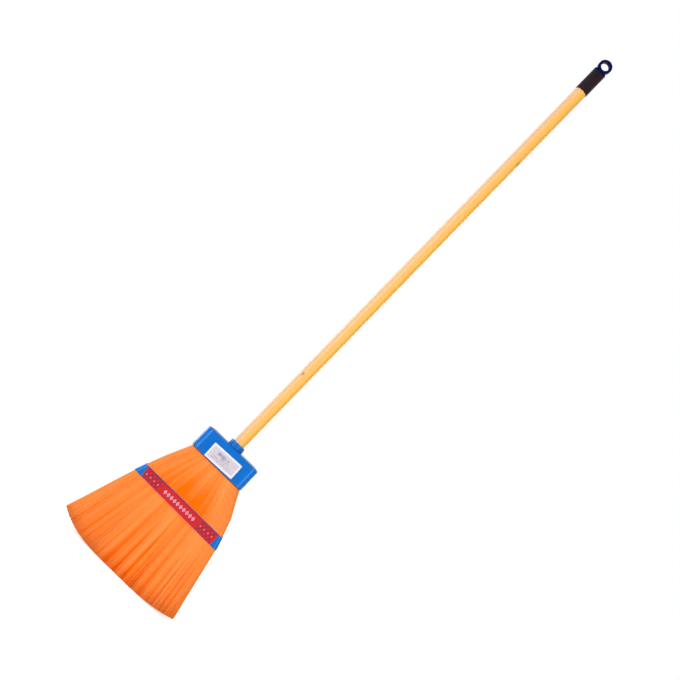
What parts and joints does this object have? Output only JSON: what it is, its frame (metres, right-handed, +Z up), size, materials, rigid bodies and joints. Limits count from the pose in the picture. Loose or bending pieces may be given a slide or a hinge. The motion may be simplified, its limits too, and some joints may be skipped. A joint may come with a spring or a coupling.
{
  "type": "outdoor broom",
  "caption": "Outdoor broom: wooden stick screwed into a moulded cap, with a wide fan of stiff plastic bristles held flat by a band, and a hanging eye on top.",
  "frame": {"origin": "on the ground under the middle of the fan's reach, where the bristle tips stand; the stick's axis is the vertical line at X = 0.0059", "axes": "+Z up the stick, -Y towards the front with the label and the printed strip, +X to the right of someone who looks at the front"},
  "size_m": [0.2847, 0.0802, 1.3585],
  "materials": {
    "blue_plastic": "moulded, semi-gloss",
    "navy_plastic": "moulded, semi-gloss",
    "orange_fibre": "drawn filament, slightly waxy",
    "red_print": "printed film, satin",
    "white_label": "paper label, satin",
    "lacquered_wood": "turned softwood under clear lacquer",
    "black_rubber": "smooth sleeve, satin",
    "zinc_steel": "zinc plated"
  },
  "bodies": {
    "head": {"head_cap": "blue_plastic", "bristle_row_1": "orange_fibre", "bristle_row_2": "orange_fibre", "bristle_row_3": "orange_fibre", "bristle_row_4": "orange_fibre", "cap_pin_left": "zinc_steel", "cap_pin_right": "zinc_steel", "band_ring": "blue_plastic", "band_strip": "red_print", "cap_label": "white_label"},
    "stick": {"handle": "lacquered_wood", "threaded_tip": "navy_plastic", "tip_screw": "zinc_steel", "top_sleeve": "black_rubber", "hanging_eye": "navy_plastic"}
  },
  "joints": [
    {"name": "handle_withdraw", "type": "slide", "parent": "head", "child": "stick", "axis": [0, 0, 1], "range_m": [0, 0.05]}
  ]
}
